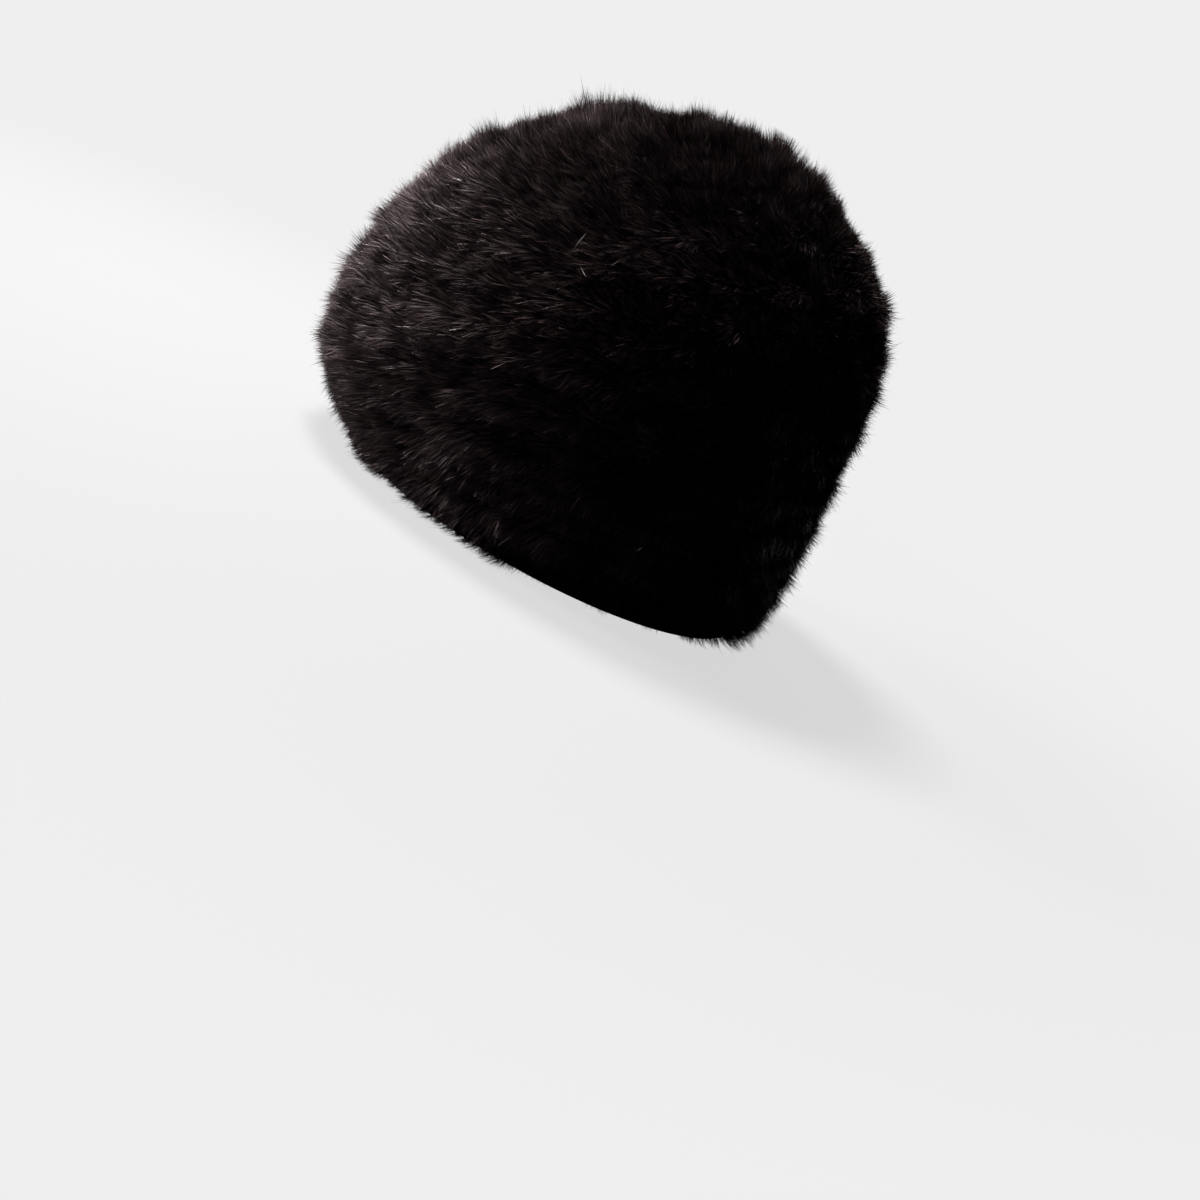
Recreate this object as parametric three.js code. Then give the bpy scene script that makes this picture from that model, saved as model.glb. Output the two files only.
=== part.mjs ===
// A knitted fur beanie, standing on its rim.
// It is a hollow knitted dome with rounds of fur strip laid over it from the opening to the
// crown, a turned edge round the opening and a rosette that closes the crown.
// Millimetres, +Z up. The front of the hat faces -Y and the wearer's left is +X.
// The rim lies in the plane z = 0, and the origin is below the middle of the whole hat.

import * as THREE from 'three';

// Thickness of the knitted wall, and the clearance between neighbouring pieces
const WALL = 3;
const GAP = 0.3;

// The turned edge: height of its underside strip, and how far it stands out of the wall
const EDGE_HEIGHT = 4;
const EDGE_OUT = 6.5;
const EDGE_FUR = 8.5;

// Fur: height of a round where two rounds meet, in the hollow between locks, and at a lock's peak
const FUR_SEAM = 6;
const FUR_HOLLOW = 8.7;
const FUR_PEAK = 12.5;
const FUR_VARIATION = 1.4;

// Rounds of fur, locks in a full round and in the short rounds near the crown, and how far a
// lock leans to the front in radians
const ROUNDS = 12;
const FULL_ROUNDS = 8;
const LOCKS = 32;
const CROWN_LOCKS = 16;
const LEAN = 0.055;

// The shares of the way from rim to pole between which the rounds lie
const FIRST_SHARE = 0.055;
const CROWN_SHARE = 0.93;

// How much wider the hat is behind its middle than in front of it
const EGG = 0.05;

// Sections of the knitted wall's outer face, from the rim (share 0) to the pole (share 1).
// Each is an oval through a front point and a back point, so the sections lean forward as
// they rise, and the pole lies in front of the middle.
const SECTIONS = [
  { share: 0.0, front_y: -94, front_z: 4, back_y: 92, back_z: 4, half_width: 80 },
  { share: 0.1, front_y: -110, front_z: 17, back_y: 96.5, back_z: 34, half_width: 91 },
  { share: 0.2, front_y: -123.5, front_z: 33, back_y: 97.5, back_z: 66, half_width: 97.5 },
  { share: 0.3, front_y: -129, front_z: 52, back_y: 95.5, back_z: 98, half_width: 100 },
  { share: 0.4, front_y: -129.5, front_z: 72, back_y: 92, back_z: 129, half_width: 98 },
  { share: 0.5, front_y: -126, front_z: 94, back_y: 82, back_z: 157.5, half_width: 92.5 },
  { share: 0.6, front_y: -120, front_z: 113, back_y: 61, back_z: 178.5, half_width: 84.5 },
  { share: 0.7, front_y: -110.5, front_z: 132, back_y: 32, back_z: 192, half_width: 73 },
  { share: 0.8, front_y: -98, front_z: 149, back_y: 2, back_z: 196, half_width: 57 },
  { share: 0.9, front_y: -79, front_z: 164, back_y: -28, back_z: 190.5, half_width: 32 },
  { share: 1.0, front_y: -55, front_z: 179, back_y: -55, back_z: 179, half_width: 0 },
];

// A smooth value of one column of the table at any share
function sectionValue(share, column) {
  const last = SECTIONS.length - 1;
  const place = Math.min(Math.max(share, 0), 1) * last;
  const row = Math.min(Math.floor(place), last - 1);
  const along = place - row;
  const value = (index) => SECTIONS[Math.min(Math.max(index, 0), last)][column];
  const here = value(row);
  const next = value(row + 1);
  const before = row === 0 ? 2 * here - next : value(row - 1);
  const after = row + 1 === last ? 2 * next - here : value(row + 2);
  const slopeHere = (next - before) / 2;
  const slopeNext = (after - here) / 2;
  const along2 = along * along;
  const along3 = along2 * along;
  return (
    (2 * along3 - 3 * along2 + 1) * here +
    (along3 - 2 * along2 + along) * slopeHere +
    (3 * along2 - 2 * along3) * next +
    (along3 - along2) * slopeNext
  );
}

// A point on the knitted wall's outer face. Angle 0 is the wearer's left, a quarter turn on is
// the back.
function wallPoint(share, angle) {
  const frontY = sectionValue(share, 'front_y');
  const frontZ = sectionValue(share, 'front_z');
  const backY = sectionValue(share, 'back_y');
  const backZ = sectionValue(share, 'back_z');
  const halfWidth = sectionValue(share, 'half_width');
  const along = Math.sin(angle);
  return new THREE.Vector3(
    halfWidth * Math.cos(angle) * (1 + EGG * along),
    (frontY + backY) / 2 + ((backY - frontY) / 2) * along,
    (frontZ + backZ) / 2 + ((backZ - frontZ) / 2) * along,
  );
}

// The direction out of the wall there. It is level at the rim, so that the rim is flat.
function wallNormal(share, angle) {
  const step = 0.004;
  const middle = Math.min(share, 0.985);
  const up = wallPoint(middle + step, angle).sub(wallPoint(Math.max(middle - step, 0), angle));
  const round = wallPoint(middle, angle + step).sub(wallPoint(middle, angle - step));
  const normal = round.cross(up).normalize();
  normal.z *= THREE.MathUtils.smoothstep(share, 0, 0.1);
  return normal.normalize();
}

// At the pole itself the direction is the mean of those round it
const POLE_NORMAL = [0, 1, 2, 3]
  .reduce((sum, quarter) => sum.add(wallNormal(1, (quarter * Math.PI) / 2)), new THREE.Vector3())
  .normalize();

// A point at a height over the wall's outer face, or below it where the height is negative
function overWall(share, angle, height) {
  const normal = share >= 1 ? POLE_NORMAL.clone() : wallNormal(share, angle);
  return wallPoint(share, angle).addScaledVector(normal, height);
}

// A repeatable number from 0 to 1 for each lock of each round
function lockChance(round, lock) {
  const wave = Math.sin(round * 12.9898 + lock * 78.233) * 43758.5453;
  return wave - Math.floor(wave);
}

// The height of the fur at one step round the hat: every other step is a lock's peak
function furHeight(round, step) {
  const peak = (step + round) % 2 === 0;
  const chance = lockChance(round, Math.floor(step / 2));
  const middle = peak ? FUR_PEAK : FUR_HOLLOW;
  return middle + (chance - 0.5) * FUR_VARIATION;
}

// A lock's outer end lies further to the front than its root, most at the sides
function leanedAngle(angle) {
  return angle - LEAN * Math.cos(angle);
}

// A closed ring whose section is a loop of points, the same number at each step
function ringGeometry(steps, sectionAt) {
  const loops = [];
  for (let step = 0; step < steps; step += 1) {
    loops.push(sectionAt(step, (step / steps) * Math.PI * 2));
  }
  const count = loops[0].length;
  const positions = loops.flat().flatMap((point) => [point.x, point.y, point.z]);
  const faces = [];
  for (let step = 0; step < steps; step += 1) {
    const next = (step + 1) % steps;
    for (let corner = 0; corner < count; corner += 1) {
      const over = (corner + 1) % count;
      const a = step * count + corner;
      const b = next * count + corner;
      const c = next * count + over;
      const d = step * count + over;
      faces.push(a, b, c, a, c, d);
    }
  }
  return solidGeometry(positions, faces);
}

// A cap closed at a pole above and a pole below. Its rows run from the upper pole to the lower.
function capGeometry(steps, topPole, rowAt, rowCount, bottomPole) {
  const positions = [topPole.x, topPole.y, topPole.z];
  for (let row = 0; row < rowCount; row += 1) {
    for (let step = 0; step < steps; step += 1) {
      const point = rowAt(row, step, (step / steps) * Math.PI * 2);
      positions.push(point.x, point.y, point.z);
    }
  }
  positions.push(bottomPole.x, bottomPole.y, bottomPole.z);
  const bottom = rowCount * steps + 1;
  const at = (row, step) => 1 + row * steps + (step % steps);
  const faces = [];
  for (let step = 0; step < steps; step += 1) {
    faces.push(0, at(0, step), at(0, step + 1));
    for (let row = 0; row + 1 < rowCount; row += 1) {
      const a = at(row, step);
      const b = at(row + 1, step);
      const c = at(row + 1, step + 1);
      const d = at(row, step + 1);
      faces.push(a, b, c, a, c, d);
    }
    faces.push(at(rowCount - 1, step), bottom, at(rowCount - 1, step + 1));
  }
  return solidGeometry(positions, faces);
}

// An indexed body of flat faces
function solidGeometry(positions, faces) {
  const geometry = new THREE.BufferGeometry();
  geometry.setAttribute('position', new THREE.Float32BufferAttribute(positions, 3));
  geometry.setIndex(faces);
  geometry.computeVertexNormals();
  return geometry;
}

// Materials
const knitMaterial = new THREE.MeshStandardMaterial({ color: 0x1a1516, roughness: 0.9, metalness: 0 });
const furColors = [0x2a2122, 0x231b1d];

function furMaterial(round) {
  return new THREE.MeshStandardMaterial({
    color: furColors[round % furColors.length],
    roughness: 0.55,
    metalness: 0,
  });
}

// The share at which each round of fur begins; the last one is where the crown begins
function roundShare(round) {
  return FIRST_SHARE + ((CROWN_SHARE - FIRST_SHARE) * round) / ROUNDS;
}

// Half of the clearance between two rounds, as a share of the way from rim to pole
const SEAM_SHARE = 0.0011;

// The knitted dome: rows where the rounds begin, up the outside, then down the inside
function knitBase() {
  const shares = [0];
  for (let round = 0; round <= ROUNDS; round += 1) {
    shares.push(roundShare(round));
  }
  const rows = [
    ...shares.toReversed().map((share) => ({ share, height: 0 })),
    ...shares.map((share) => ({ share, height: -WALL })),
  ];
  const rowAt = (row, step, angle) => overWall(rows[row].share, angle, rows[row].height);
  return capGeometry(LOCKS, overWall(1, 0, 0), rowAt, rows.length, overWall(1, 0, -WALL));
}

// One round of fur: a strip backing along the wall with its locks standing on it
function furRound(round) {
  const bottom = roundShare(round) + SEAM_SHARE;
  const top = roundShare(round + 1) - SEAM_SHARE;
  const lower = THREE.MathUtils.lerp(bottom, top, 0.3);
  const upper = THREE.MathUtils.lerp(bottom, top, 0.68);
  const locks = round < FULL_ROUNDS ? LOCKS : CROWN_LOCKS;
  return ringGeometry(locks * 2, (step, angle) => {
    const height = furHeight(round, step);
    const outer = leanedAngle(angle);
    return [
      overWall(bottom, angle, GAP),
      overWall(bottom, angle, FUR_SEAM),
      overWall(lower, outer, height),
      overWall(upper, outer, height * 0.97),
      overWall(top, angle, FUR_SEAM),
      overWall(top, angle, GAP),
    ];
  });
}

// The turned edge: a flat strip under the wall, with short fur up the outside
function rimEdge() {
  const top = roundShare(0) - SEAM_SHARE;
  return ringGeometry(LOCKS * 2, (step, angle) => {
    const rim = wallPoint(0, angle);
    const out = wallNormal(0, angle);
    const at = (distance, height) =>
      new THREE.Vector3(rim.x + out.x * distance, rim.y + out.y * distance, height);
    const short = (furHeight(0, step) - FUR_HOLLOW) * 0.35;
    const shoulder = overWall(top, angle, EDGE_FUR + short);
    const toe = at(EDGE_OUT, 0);
    const cheek = toe.clone().lerp(shoulder, 0.5).addScaledVector(out, 1.2 + short * 0.5);
    return [
      at(-WALL, EDGE_HEIGHT - GAP),
      at(-WALL, 0),
      toe,
      cheek,
      shoulder,
      overWall(top, angle, GAP),
      at(GAP, EDGE_HEIGHT - GAP),
    ];
  });
}

// The rosette: the last locks drawn together over the pole, with a small tuft in the middle
function crownRosette() {
  const start = CROWN_SHARE + SEAM_SHARE;
  const rows = [
    { share: 0.985, height: FUR_PEAK + 1.2, lock: 0.4 },
    { share: 0.96, height: FUR_PEAK - 0.5, lock: 1 },
    { share: start, height: FUR_SEAM, lock: 0 },
    { share: start, height: GAP, lock: 0 },
  ];
  const rowAt = (row, step, angle) => {
    const { share, height, lock } = rows[row];
    const hollow = step % 2 === 0 ? 0 : 2.2 * lock;
    return overWall(share, angle, height - hollow);
  };
  const tuft = overWall(1, 0, FUR_PEAK + 2.5);
  return capGeometry(CROWN_LOCKS * 2, tuft, rowAt, rows.length, overWall(1, 0, GAP));
}

const hat = new THREE.Group();

function addPiece(name, geometry, material) {
  const piece = new THREE.Mesh(geometry, material);
  piece.name = name;
  hat.add(piece);
}

addPiece('knit_base', knitBase(), knitMaterial);
addPiece('rim_edge', rimEdge(), furMaterial(1));
for (let round = 0; round < ROUNDS; round += 1) {
  addPiece(`fur_round_${String(round + 1).padStart(2, '0')}`, furRound(round), furMaterial(round));
}
addPiece('crown_rosette', crownRosette(), furMaterial(ROUNDS));

// The origin is on the floor, below the middle of the whole hat
const extent = new THREE.Box3().setFromObject(hat);
const middle = extent.getCenter(new THREE.Vector3());
hat.position.set(-middle.x, -middle.y, -extent.min.z);

export default hat;
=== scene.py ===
# The dressed model of a knitted fur beanie that stands on its rim, on a pale floor.
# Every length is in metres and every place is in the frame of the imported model: +Z up, the
# front of the hat towards -Y, the wearer's left towards +X.
import math

import bpy
import numpy as np
from bpy.props import FloatProperty, FloatVectorProperty, IntProperty, PointerProperty
from mathutils import Matrix, Vector


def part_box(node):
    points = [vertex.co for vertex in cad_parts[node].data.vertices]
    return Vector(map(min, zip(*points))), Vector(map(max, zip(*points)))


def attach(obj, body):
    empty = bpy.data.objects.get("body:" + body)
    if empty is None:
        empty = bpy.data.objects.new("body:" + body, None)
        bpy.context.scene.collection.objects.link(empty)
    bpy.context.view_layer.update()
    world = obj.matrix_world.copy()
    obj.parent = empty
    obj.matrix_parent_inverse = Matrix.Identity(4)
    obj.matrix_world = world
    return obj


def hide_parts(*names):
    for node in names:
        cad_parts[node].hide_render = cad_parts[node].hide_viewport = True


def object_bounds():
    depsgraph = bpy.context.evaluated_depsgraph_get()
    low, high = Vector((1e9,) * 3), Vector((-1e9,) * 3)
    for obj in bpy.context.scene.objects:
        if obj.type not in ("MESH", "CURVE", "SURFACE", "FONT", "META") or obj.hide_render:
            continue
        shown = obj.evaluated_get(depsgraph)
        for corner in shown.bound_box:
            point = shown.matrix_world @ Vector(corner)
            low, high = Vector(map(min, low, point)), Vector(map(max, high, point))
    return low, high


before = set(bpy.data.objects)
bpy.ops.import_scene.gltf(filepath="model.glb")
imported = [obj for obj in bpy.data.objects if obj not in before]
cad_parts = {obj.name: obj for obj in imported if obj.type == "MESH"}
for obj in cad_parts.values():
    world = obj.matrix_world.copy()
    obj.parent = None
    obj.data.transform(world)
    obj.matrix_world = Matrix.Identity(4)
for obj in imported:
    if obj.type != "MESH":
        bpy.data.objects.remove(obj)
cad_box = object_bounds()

bl_info = {
    "name": "Knitted Fur Beanie",
    "version": (1, 0, 0),
    "blender": (4, 5, 0),
    "location": "3D View > Sidebar > Beanie",
    "description": "Builds the fur, the knitted ground and the studio of a knitted fur beanie",
    "category": "Object",
}

MM = 0.001

# The knitted wall's outer face, as the part has it: a row for each section from the rim
# (share 0) to the pole (share 1), each an oval through a front point and a back point.
# The columns are the front's y and z, the back's y and z, and half the width.
SECTION_ROWS_MM = (
    (-94, 4, 92, 4, 80),
    (-110, 17, 96.5, 34, 91),
    (-123.5, 33, 97.5, 66, 97.5),
    (-129, 52, 95.5, 98, 100),
    (-129.5, 72, 92, 129, 98),
    (-126, 94, 82, 157.5, 92.5),
    (-120, 113, 61, 178.5, 84.5),
    (-110.5, 132, 32, 192, 73),
    (-98, 149, 2, 196, 57),
    (-79, 164, -28, 190.5, 32),
    (-55, 179, -55, 179, 0),
)
SECTIONS = np.array(SECTION_ROWS_MM) * MM
# How much wider an oval is towards the back, the wall's thickness, and the gap over it
EGG = 0.05
WALL = 3 * MM
GAP = 0.3 * MM
# The rounds of fur strip lie between two shares of the way up the wall
ROUNDS = 12
FIRST_SHARE = 0.055
CROWN_SHARE = 0.93

FULL_TURN = 2 * math.pi
# The UV map that tells a hair's material how far along a point lies, and the hair's chance
STRAND_MAP = "strand"


# The shape of the hat

def section_values(share):
    """The five columns of the table at each share, on a smooth curve through the rows."""
    last = len(SECTIONS) - 1
    place = np.clip(share, 0, 1) * last
    row = np.minimum(place.astype(int), last - 1)
    along = (place - row)[..., None]
    here = SECTIONS[row]
    after_here = SECTIONS[row + 1]
    before = np.where((row == 0)[..., None], 2 * here - after_here, SECTIONS[np.maximum(row - 1, 0)])
    beyond = np.where(
        (row + 1 == last)[..., None], 2 * after_here - here, SECTIONS[np.minimum(row + 2, last)]
    )
    slope_here = (after_here - before) / 2
    slope_next = (beyond - here) / 2
    value = (2 * along**3 - 3 * along**2 + 1) * here + (along**3 - 2 * along**2 + along) * slope_here
    value += (3 * along**2 - 2 * along**3) * after_here + (along**3 - along**2) * slope_next
    return np.moveaxis(value, -1, 0)


def wall_points(share, angle):
    """Points on the wall's outer face. Angle 0 is the wearer's left, a quarter turn on is the back."""
    front_y, front_z, back_y, back_z, half_width = section_values(share)
    along = np.sin(angle)
    x = half_width * np.cos(angle) * (1 + EGG * along)
    y = (front_y + back_y) / 2 + (back_y - front_y) / 2 * along
    z = (front_z + back_z) / 2 + (back_z - front_z) / 2 * along
    return np.stack([x, y, z], axis=-1) + HAT_SHIFT


def unit(vectors):
    """Each vector at length 1."""
    return vectors / np.maximum(np.linalg.norm(vectors, axis=-1, keepdims=True), 1e-12)


def smooth_step(value, low, high):
    """0 up to the low value, 1 from the high value on, and a smooth rise between."""
    share = np.clip((value - low) / (high - low), 0, 1)
    return share * share * (3 - 2 * share)


# The step between neighbouring points that gives the wall's slope, and how near the pole it is read
SLOPE_STEP = 0.004
LAST_SLOPE_SHARE = 0.985
# Below this share the way out of the wall turns level, so nothing points under the floor
LEVEL_BELOW_SHARE = 0.1


def wall_axes(share, angle):
    """(point, out of the wall, backwards round the hat from the left side, up the wall)."""
    middle = np.minimum(share, LAST_SLOPE_SHARE)
    above = wall_points(middle + SLOPE_STEP, angle)
    up = above - wall_points(np.maximum(middle - SLOPE_STEP, 0), angle)
    around = wall_points(middle, angle + SLOPE_STEP) - wall_points(middle, angle - SLOPE_STEP)
    out = unit(np.cross(around, up))
    out[..., 2] *= smooth_step(share, 0, LEVEL_BELOW_SHARE)
    out = unit(out)
    around = unit(around)
    return wall_points(share, angle), out, around, unit(np.cross(out, around))


def over_wall(share, angle, height):
    """Points at a height over the wall's outer face."""
    point, out, _, _ = wall_axes(share, angle)
    return point + out * np.asarray(height)[..., None]


def hat_shift():
    """How far the part's own frame lies from the table's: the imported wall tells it."""
    low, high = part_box("knit_base")
    shares = np.concatenate([[0], np.linspace(FIRST_SHARE, CROWN_SHARE, ROUNDS + 1)])
    _, _, back_y, _, _ = section_values(shares)
    return np.array([(low.x + high.x) / 2, high.y - back_y.max(), 0.0])


HAT_SHIFT = hat_shift()


def round_share(number):
    """The share at which a round of fur begins, counted from 0."""
    return FIRST_SHARE + (CROWN_SHARE - FIRST_SHARE) * number / ROUNDS


# What a user would change

class FurSettings(bpy.types.PropertyGroup):
    """Sizes, numbers and colours of the hair"""
    guard_length: FloatProperty(
        name="Guard hair", description="Length of the glossy guard hair over the underfur",
        default=12.5 * MM, unit="LENGTH")
    under_length: FloatProperty(
        name="Underfur", description="Length of the dense soft underfur",
        default=9.0 * MM, unit="LENGTH")
    hair_width: FloatProperty(
        name="Hair width", description="Width of a guard hair at its widest",
        default=0.20 * MM, unit="LENGTH")
    root_height: FloatProperty(
        name="Pelt height", description="Height over the knitted wall at which the hair starts",
        default=5.0 * MM, unit="LENGTH")
    guard_density: FloatProperty(
        name="Guard density", description="Guard hairs for each square millimetre of wall",
        default=2.0)
    under_density: FloatProperty(
        name="Underfur density", description="Underfur hairs for each square millimetre of wall",
        default=2.4)
    clump_size: FloatProperty(
        name="Clump size", description="Width of the small clumps that hair tips gather in",
        default=1.8 * MM, unit="LENGTH")
    tuft_pitch: FloatProperty(
        name="Tuft pitch", description="Distance between the tufts round the hat",
        default=11 * MM, unit="LENGTH")
    seed: IntProperty(name="Seed", description="Start of the repeatable chance numbers", default=7)
    guard_root_color: FloatVectorProperty(
        name="Guard root", description="Colour of a guard hair near the skin",
        default=(0.005, 0.0035, 0.0035), size=3, subtype="COLOR")
    guard_tip_color: FloatVectorProperty(
        name="Guard tip", description="Colour of a guard hair at its tip",
        default=(0.043, 0.025, 0.025), size=3, subtype="COLOR")
    awn_tip_color: FloatVectorProperty(
        name="Awn tip", description="Colour of the few glossy longer hairs at their tips",
        default=(0.105, 0.077, 0.075), size=3, subtype="COLOR")
    under_color: FloatVectorProperty(
        name="Underfur", description="Colour of the underfur",
        default=(0.017, 0.010, 0.010), size=3, subtype="COLOR")


class KnitSettings(bpy.types.PropertyGroup):
    """Sizes and colour of the knitted ground"""
    stitch_pitch: FloatProperty(
        name="Stitch", description="Width of one stitch of the knitted ground",
        default=7.5 * MM, unit="LENGTH")
    stitch_depth: FloatProperty(
        name="Stitch depth", description="Depth of the furrows between stitches",
        default=1.5 * MM, unit="LENGTH")
    yarn_color: FloatVectorProperty(
        name="Yarn", description="Colour of the knitted ground",
        default=(0.026, 0.021, 0.021), size=3, subtype="COLOR")


class StudioSettings(bpy.types.PropertyGroup):
    """Place of the camera, and the background"""
    azimuth: FloatProperty(
        name="Azimuth", description="Side the camera looks from: 90 degrees is the wearer's left",
        default=math.radians(94.5), subtype="ANGLE")
    elevation: FloatProperty(
        name="Elevation", description="Camera angle above level",
        default=math.radians(8.4), subtype="ANGLE")
    distance: FloatProperty(
        name="Distance", description="Camera to the middle of the hat", default=1.0, unit="LENGTH")
    roll: FloatProperty(
        name="Roll", description="Turn of the picture that tips the hat back",
        default=math.radians(27.4), subtype="ANGLE")
    background: FloatProperty(
        name="Background", description="Brightness of the pale background", default=0.863)


# Helpers for pieces

# A ring primitive before it is laid along the wall
RING_RADIUS = 0.1
RING_SECTION_RADIUS = 0.01


def deselect_all():
    """Leaves no object selected."""
    bpy.ops.object.select_all(action="DESELECT")


def finish_piece(piece, slot, *nodes):
    """Puts the object's place in its mesh, hangs it on the root body and hides the parts it stands
    for.
    """
    deselect_all()
    piece.select_set(True)
    bpy.context.view_layer.objects.active = piece
    bpy.ops.object.transform_apply(location=True, rotation=True, scale=True)
    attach(piece, "root")
    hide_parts(*nodes)


def vertex_places(piece):
    """The places of a primitive's vertices, one in each row."""
    place = np.empty(len(piece.data.vertices) * 3, np.float32)
    piece.data.vertices.foreach_get("co", place)
    return place.reshape(-1, 3)


def move_vertices(piece, place):
    """Gives the vertices of a primitive their places on the hat."""
    piece.data.vertices.foreach_set("co", place.astype(np.float32).ravel())
    piece.data.update()


def edit_whole(operator, **options):
    """Runs an operator of edit mode on the whole of the active object."""
    bpy.ops.object.mode_set(mode="EDIT")
    bpy.ops.mesh.select_all(action="SELECT")
    operator(**options)
    bpy.ops.object.mode_set(mode="OBJECT")


def face_outwards():
    """Turns every face of the active object outwards and shades it smooth."""
    edit_whole(bpy.ops.mesh.normals_make_consistent, inside=False)
    bpy.ops.object.shade_smooth()


def add_ring(name, around, section):
    """A ring primitive, with the angle of each vertex round it and its number in the section."""
    deselect_all()
    bpy.ops.mesh.primitive_torus_add(
        major_segments=around, minor_segments=section, major_radius=RING_RADIUS,
        minor_radius=RING_SECTION_RADIUS, location=(0, 0, 0))
    ring = bpy.context.object
    ring.name = name
    number = np.arange(around * section)
    return ring, (number // section) / around * FULL_TURN, number % section


def link_strands(name, mesh, material_name):
    """Puts a mesh of hair in the scene, in its material."""
    mesh.materials.append(finish(material_name))
    strands = bpy.data.objects.new(name, mesh)
    bpy.context.collection.objects.link(strands)
    return strands


def set_strand_map(mesh, along, chance):
    """Writes how far along its hair each vertex lies, and the hair's chance number."""
    for layer in list(mesh.uv_layers):
        mesh.uv_layers.remove(layer)
    layer = mesh.uv_layers.new(name=STRAND_MAP)
    corners = np.empty(len(mesh.loops), np.int32)
    mesh.loops.foreach_get("vertex_index", corners)
    pairs = np.stack([along[corners], chance[corners]], axis=1)
    layer.data.foreach_set("uv", pairs.astype(np.float32).ravel())


def mesh_from_faces(name, points, corners, face_sizes):
    """A mesh from arrays: points, the corners of all faces in a row, and corners per face."""
    mesh = bpy.data.meshes.new(name)
    mesh.vertices.add(len(points))
    mesh.vertices.foreach_set("co", points.astype(np.float32).ravel())
    mesh.loops.add(len(corners))
    mesh.loops.foreach_set("vertex_index", corners.astype(np.int32))
    mesh.polygons.add(len(face_sizes))
    starts = np.concatenate([[0], np.cumsum(face_sizes)[:-1]])
    mesh.polygons.foreach_set("loop_start", starts.astype(np.int32))
    mesh.update(calc_edges=True)
    return mesh


# Hair

# Numbers that scatter a sine so widely that what lies behind its point looks like chance
COURSE_STIR, STITCH_STIR, USE_STIR, SEED_STIR = 12.9898, 78.233, 37.719, 4.581
WAVE_STIR = 43758.5453
# What the tufts' chance numbers are used for
TUFT_TURN, TUFT_TILT, TUFT_LENGTH = 0, 1, 3


def tuft_number(course, stitch, seed, use):
    """A repeatable chance number, from 0 to 1, for each tuft and use."""
    value = course * COURSE_STIR + stitch * STITCH_STIR + use * USE_STIR + seed * SEED_STIR
    wave = np.sin(value) * WAVE_STIR
    return wave - np.floor(wave)


def scatter_roots(rng, low, high, density):
    """Shares and angles of hair roots, even over the wall between two shares."""
    steps, rows = 48, 8
    shares, angles = np.meshgrid(
        np.linspace(low, high, rows + 1), np.linspace(0, FULL_TURN, steps + 1))
    corner = wall_points(shares, angles)
    across = np.diff(corner, axis=1)[:-1]
    around = np.diff(corner, axis=0)[:, :-1]
    cells = np.linalg.norm(np.cross(across, around), axis=-1)
    cell_chance = cells.ravel() / cells.sum()
    count = int(cells.sum() / MM**2 * density)
    picked = rng.choice(cells.size, count, p=cell_chance)
    row, column = np.divmod(picked, cells.shape[1])
    angle = (row + rng.random(count)) / steps * FULL_TURN
    share = low + (high - low) * (column + rng.random(count)) / cells.shape[1]
    return share, angle


# Points at which the girth is measured, and the fewest tufts that a course has
GIRTH_POINTS = 65
FEWEST_TUFTS = 5


def course_layout(share, angle, low, high, courses, pitch, seed):
    """The tuft that each root belongs to: its number and where in it the root lies, -1 to 1."""
    wobble = 0.10 * np.sin(angle * 5 + seed * 1.7 + share * 9) + 0.07 * np.sin(angle * 11 + seed)
    row = (share - low) / (high - low) * courses + wobble
    course = np.clip(np.floor(row), 0, courses - 1).astype(int)
    down_up = (row - course - 0.5) * 2
    middle_shares = low + (high - low) * (np.arange(courses) + 0.5) / courses
    turn = np.linspace(0, FULL_TURN, GIRTH_POINTS)
    stitch_count = np.empty(courses)
    for index, middle in enumerate(middle_shares):
        ring = wall_points(np.full(GIRTH_POINTS, middle), turn)
        girth = np.linalg.norm(np.diff(ring, axis=0), axis=1).sum()
        stitch_count[index] = max(round(girth / pitch), FEWEST_TUFTS)
    stitches = stitch_count[course]
    offset = tuft_number(course, 0.0, seed, TUFT_TURN)
    place = angle / FULL_TURN * stitches + offset + 0.22 * np.sin(row * 4.1 + seed)
    stitch = np.floor(place)
    front_back = (place - stitch - 0.5) * 2
    return course, stitch % stitches, front_back, down_up


def rim_front(share, angle):
    """1 along the front half of the rim, where the fur is long and ragged, falling to 0."""
    return smooth_step(-share, -0.13, -0.05) * smooth_step(-np.sin(angle), -0.3, 0.4)


def rim_back(share, angle):
    """1 along the back of the rim, where the fur stands out, falling to 0."""
    return smooth_step(-share, -0.16, -0.06) * smooth_step(np.sin(angle), 0.2, 0.8)


# Where along a hair its bend and widest place lie, and how far hair may reach past the solids' box
BLADE_BEND = 0.6
HAIR_REACH = 7.5 * MM
# The hair's lay at shares of the way up the wall, and the droop over the wearer's ears
LAY_SHARES = (0, 0.09, 0.16, 0.23, 0.37, 0.47, 0.60, 0.70, 0.80, 1.0)
LAY_DEGREES = (-52, -34, -20, -9, -6, 5, 10, 22, 40, 45)
SIDE_DROOP_DEGREES = 26


def lay_angle(share, angle):
    """How far the hair's lay turns up from the round's line, in radians: it droops at the rim."""
    turn = np.interp(share, LAY_SHARES, LAY_DEGREES)
    at_side = smooth_step(np.cos(angle), 0.75, 1.0) * smooth_step(-share, -0.27, -0.19)
    turn = turn * (1 - 0.6 * rim_back(share, angle))
    return np.radians(turn - SIDE_DROOP_DEGREES * at_side)


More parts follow.
